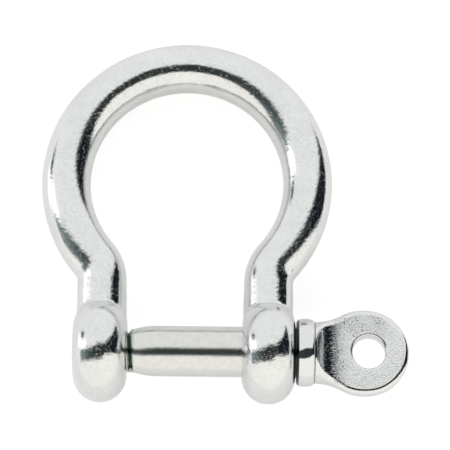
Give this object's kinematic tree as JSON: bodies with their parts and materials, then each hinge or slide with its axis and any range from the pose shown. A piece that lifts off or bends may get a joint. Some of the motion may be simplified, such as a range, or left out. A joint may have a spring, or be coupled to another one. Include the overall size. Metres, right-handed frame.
{
  "type": "bow shackle",
  "caption": "Forged bow shackle: a round, wide bow closed across its ears by a screw pin with a collar and a flat eye.",
  "frame": {"origin": "on the pin's axis, midway between the inner faces of the ears", "axes": "+X along the pin towards its eye, +Y from the pin to the crown of the bow, +Z out of the bow's plane, so the shackle lies flat on its side"},
  "size_m": [0.0597, 0.06, 0.0166],
  "materials": {
    "polished_stainless": "mirror-polished forged stainless steel with a faint orange-peel texture",
    "satin_stainless": "satin turned stainless steel",
    "pressed_stainless": "polished stainless steel collar with a satin, lightly pitted pressed eye"
  },
  "bodies": {
    "bow": {"bow": "polished_stainless"},
    "pin_sliding": {"pin_shank": "satin_stainless"},
    "pin_turning": {"pin_thread": "satin_stainless", "pin_head": "pressed_stainless"}
  },
  "joints": [
    {"name": "pin_travel", "type": "slide", "parent": "bow", "child": "pin_sliding", "axis": [1, 0, 0], "range_m": [0, 0.03575]},
    {"name": "pin_unscrew", "type": "hinge", "parent": "pin_sliding", "child": "pin_turning", "pos_m": [0, 0, 0], "axis": [1, 0, 0], "range_deg": [0, 12871]}
  ],
  "couplings": [
    {"joint": "pin_unscrew", "follows": "pin_travel", "rad_per_m": 6283.2}
  ]
}
